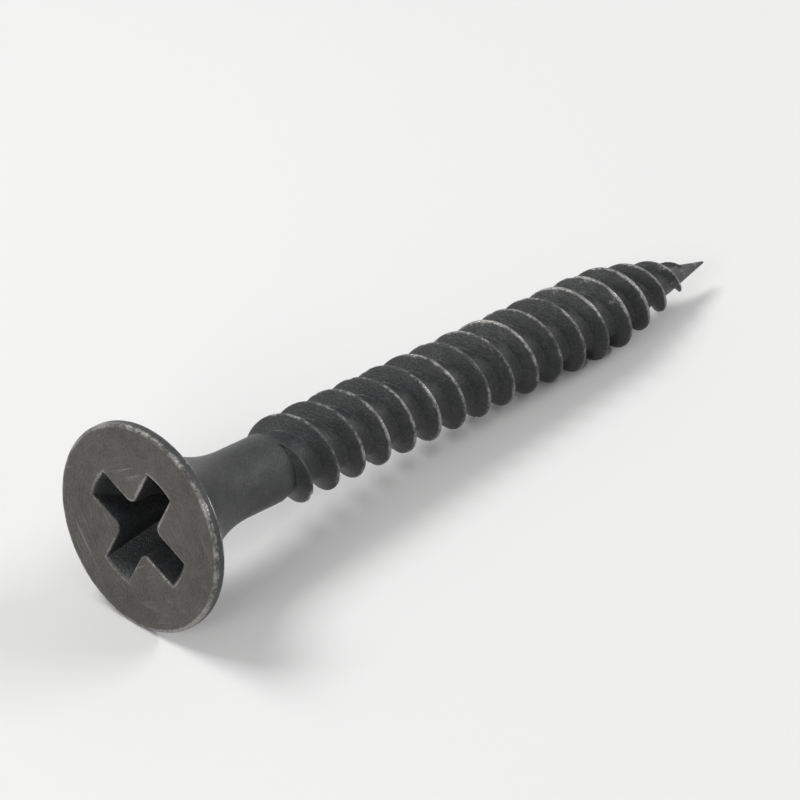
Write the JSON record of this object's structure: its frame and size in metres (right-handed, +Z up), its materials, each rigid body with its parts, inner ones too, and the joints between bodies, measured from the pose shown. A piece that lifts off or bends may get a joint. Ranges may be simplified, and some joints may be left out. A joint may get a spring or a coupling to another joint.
{
  "type": "drywall screw",
  "caption": "Drywall screw with a bugle head, cross recess, smooth neck, twin-start fine thread and needle point, in matt black phosphate.",
  "frame": {"origin": "bottom centre of the box round the lying screw, on the table it lies on", "axes": "+X from the head toward the tip along the table, +Z up; the screw's own axis dips toward the tip by about 5.2 degrees, because it lies on its rim and its thread"},
  "size_m": [0.0322, 0.008, 0.008],
  "materials": {
    "black_phosphate": "matt black phosphate on steel, dry and slightly crystalline, with edges rubbed a little lighter"
  },
  "bodies": {
    "root": {"screw": "black_phosphate"}
  },
  "joints": []
}
